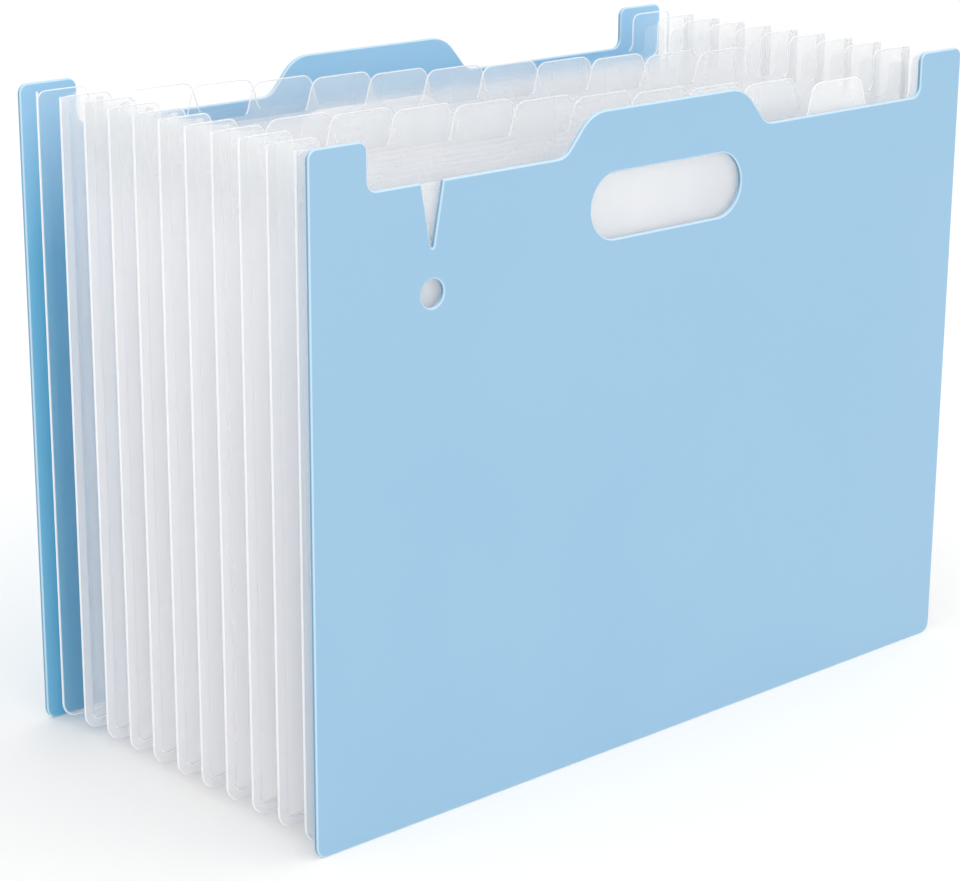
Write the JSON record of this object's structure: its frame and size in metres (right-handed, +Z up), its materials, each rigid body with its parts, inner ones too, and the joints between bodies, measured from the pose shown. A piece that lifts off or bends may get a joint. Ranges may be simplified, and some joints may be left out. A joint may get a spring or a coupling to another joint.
{
  "type": "accordion file folder",
  "caption": "Standing expanding file folder: two stiff covers with hand slots, joined by a clear pleated bellows of tabbed divider pockets that opens and closes like an accordion.",
  "frame": {"origin": "middle of the footprint of the standing folder, on the table", "axes": "+X along the covers with the closure notch on the -X side, +Y from the front cover to the rear cover, +Z up"},
  "size_m": [0.33, 0.1668, 0.246],
  "materials": {
    "cover_sheet": "satin",
    "divider_film": "translucent",
    "gusset_film": "translucent"
  },
  "bodies": {
    "rear_cover_body": {"rear_cover": "cover_sheet", "gusset_01": "gusset_film"},
    "divider_01_body": {"divider_01": "divider_film", "gusset_02": "gusset_film"},
    "divider_02_body": {"divider_02": "divider_film", "gusset_03": "gusset_film"},
    "divider_03_body": {"divider_03": "divider_film", "gusset_04": "gusset_film"},
    "divider_04_body": {"divider_04": "divider_film", "gusset_05": "gusset_film"},
    "divider_05_body": {"divider_05": "divider_film", "gusset_06": "gusset_film"},
    "divider_06_body": {"divider_06": "divider_film", "gusset_07": "gusset_film"},
    "divider_07_body": {"divider_07": "divider_film", "gusset_08": "gusset_film"},
    "divider_08_body": {"divider_08": "divider_film", "gusset_09": "gusset_film"},
    "divider_09_body": {"divider_09": "divider_film", "gusset_10": "gusset_film"},
    "divider_10_body": {"divider_10": "divider_film", "gusset_11": "gusset_film"},
    "divider_11_body": {"divider_11": "divider_film", "gusset_12": "gusset_film"},
    "divider_12_body": {"divider_12": "divider_film", "gusset_13": "gusset_film"},
    "divider_13_body": {"divider_13": "divider_film", "gusset_14": "gusset_film"},
    "divider_14_body": {"divider_14": "divider_film", "gusset_15": "gusset_film"},
    "divider_15_body": {"divider_15": "divider_film", "gusset_16": "gusset_film"},
    "divider_16_body": {"divider_16": "divider_film", "gusset_17": "gusset_film"},
    "divider_17_body": {"divider_17": "divider_film", "gusset_18": "gusset_film"},
    "divider_18_body": {"divider_18": "divider_film", "gusset_19": "gusset_film"},
    "divider_19_body": {"divider_19": "divider_film", "gusset_20": "gusset_film"},
    "divider_20_body": {"divider_20": "divider_film", "gusset_21": "gusset_film"},
    "divider_21_body": {"divider_21": "divider_film", "gusset_22": "gusset_film"},
    "front_cover_body": {"front_cover": "cover_sheet"}
  },
  "joints": [
    {"name": "divider_01_slide", "type": "slide", "parent": "rear_cover_body", "child": "divider_01_body", "axis": [0, -1, 0], "range_m": [-0.00591, 0.00251], "deforming": ["gusset_01"]},
    {"name": "divider_02_slide", "type": "slide", "parent": "rear_cover_body", "child": "divider_02_body", "axis": [0, -1, 0], "range_m": [-0.01181, 0.00501], "deforming": ["gusset_02"]},
    {"name": "divider_03_slide", "type": "slide", "parent": "rear_cover_body", "child": "divider_03_body", "axis": [0, -1, 0], "range_m": [-0.01771, 0.00751], "deforming": ["gusset_03"]},
    {"name": "divider_04_slide", "type": "slide", "parent": "rear_cover_body", "child": "divider_04_body", "axis": [0, -1, 0], "range_m": [-0.02361, 0.01001], "deforming": ["gusset_04"]},
    {"name": "divider_05_slide", "type": "slide", "parent": "rear_cover_body", "child": "divider_05_body", "axis": [0, -1, 0], "range_m": [-0.02951, 0.01251], "deforming": ["gusset_05"]},
    {"name": "divider_06_slide", "type": "slide", "parent": "rear_cover_body", "child": "divider_06_body", "axis": [0, -1, 0], "range_m": [-0.03541, 0.01501], "deforming": ["gusset_06"]},
    {"name": "divider_07_slide", "type": "slide", "parent": "rear_cover_body", "child": "divider_07_body", "axis": [0, -1, 0], "range_m": [-0.04131, 0.01751], "deforming": ["gusset_07"]},
    {"name": "divider_08_slide", "type": "slide", "parent": "rear_cover_body", "child": "divider_08_body", "axis": [0, -1, 0], "range_m": [-0.04721, 0.02001], "deforming": ["gusset_08"]},
    {"name": "divider_09_slide", "type": "slide", "parent": "rear_cover_body", "child": "divider_09_body", "axis": [0, -1, 0], "range_m": [-0.05311, 0.02251], "deforming": ["gusset_09"]},
    {"name": "divider_10_slide", "type": "slide", "parent": "rear_cover_body", "child": "divider_10_body", "axis": [0, -1, 0], "range_m": [-0.05901, 0.02501], "deforming": ["gusset_10"]},
    {"name": "divider_11_slide", "type": "slide", "parent": "rear_cover_body", "child": "divider_11_body", "axis": [0, -1, 0], "range_m": [-0.06491, 0.02751], "deforming": ["gusset_11"]},
    {"name": "divider_12_slide", "type": "slide", "parent": "rear_cover_body", "child": "divider_12_body", "axis": [0, -1, 0], "range_m": [-0.07081, 0.03001], "deforming": ["gusset_12"]},
    {"name": "divider_13_slide", "type": "slide", "parent": "rear_cover_body", "child": "divider_13_body", "axis": [0, -1, 0], "range_m": [-0.07671, 0.03251], "deforming": ["gusset_13"]},
    {"name": "divider_14_slide", "type": "slide", "parent": "rear_cover_body", "child": "divider_14_body", "axis": [0, -1, 0], "range_m": [-0.08261, 0.03501], "deforming": ["gusset_14"]},
    {"name": "divider_15_slide", "type": "slide", "parent": "rear_cover_body", "child": "divider_15_body", "axis": [0, -1, 0], "range_m": [-0.08851, 0.03751], "deforming": ["gusset_15"]},
    {"name": "divider_16_slide", "type": "slide", "parent": "rear_cover_body", "child": "divider_16_body", "axis": [0, -1, 0], "range_m": [-0.09441, 0.04001], "deforming": ["gusset_16"]},
    {"name": "divider_17_slide", "type": "slide", "parent": "rear_cover_body", "child": "divider_17_body", "axis": [0, -1, 0], "range_m": [-0.10031, 0.04251], "deforming": ["gusset_17"]},
    {"name": "divider_18_slide", "type": "slide", "parent": "rear_cover_body", "child": "divider_18_body", "axis": [0, -1, 0], "range_m": [-0.10621, 0.04501], "deforming": ["gusset_18"]},
    {"name": "divider_19_slide", "type": "slide", "parent": "rear_cover_body", "child": "divider_19_body", "axis": [0, -1, 0], "range_m": [-0.11211, 0.04751], "deforming": ["gusset_19"]},
    {"name": "divider_20_slide", "type": "slide", "parent": "rear_cover_body", "child": "divider_20_body", "axis": [0, -1, 0], "range_m": [-0.11801, 0.05001], "deforming": ["gusset_20"]},
    {"name": "divider_21_slide", "type": "slide", "parent": "rear_cover_body", "child": "divider_21_body", "axis": [0, -1, 0], "range_m": [-0.12391, 0.05251], "deforming": ["gusset_21"]},
    {"name": "front_cover_slide", "type": "slide", "parent": "rear_cover_body", "child": "front_cover_body", "axis": [0, -1, 0], "range_m": [-0.1298, 0.055], "deforming": ["gusset_22"]}
  ],
  "couplings": [
    {"joint": "divider_01_slide", "follows": "front_cover_slide", "ratio": 0.045455},
    {"joint": "divider_02_slide", "follows": "front_cover_slide", "ratio": 0.090909},
    {"joint": "divider_03_slide", "follows": "front_cover_slide", "ratio": 0.13636},
    {"joint": "divider_04_slide", "follows": "front_cover_slide", "ratio": 0.18182},
    {"joint": "divider_05_slide", "follows": "front_cover_slide", "ratio": 0.22727},
    {"joint": "divider_06_slide", "follows": "front_cover_slide", "ratio": 0.27273},
    {"joint": "divider_07_slide", "follows": "front_cover_slide", "ratio": 0.31818},
    {"joint": "divider_08_slide", "follows": "front_cover_slide", "ratio": 0.36364},
    {"joint": "divider_09_slide", "follows": "front_cover_slide", "ratio": 0.40909},
    {"joint": "divider_10_slide", "follows": "front_cover_slide", "ratio": 0.45455},
    {"joint": "divider_11_slide", "follows": "front_cover_slide", "ratio": 0.5},
    {"joint": "divider_12_slide", "follows": "front_cover_slide", "ratio": 0.54545},
    {"joint": "divider_13_slide", "follows": "front_cover_slide", "ratio": 0.59091},
    {"joint": "divider_14_slide", "follows": "front_cover_slide", "ratio": 0.63636},
    {"joint": "divider_15_slide", "follows": "front_cover_slide", "ratio": 0.68182},
    {"joint": "divider_16_slide", "follows": "front_cover_slide", "ratio": 0.72727},
    {"joint": "divider_17_slide", "follows": "front_cover_slide", "ratio": 0.77273},
    {"joint": "divider_18_slide", "follows": "front_cover_slide", "ratio": 0.81818},
    {"joint": "divider_19_slide", "follows": "front_cover_slide", "ratio": 0.86364},
    {"joint": "divider_20_slide", "follows": "front_cover_slide", "ratio": 0.90909},
    {"joint": "divider_21_slide", "follows": "front_cover_slide", "ratio": 0.95455}
  ]
}
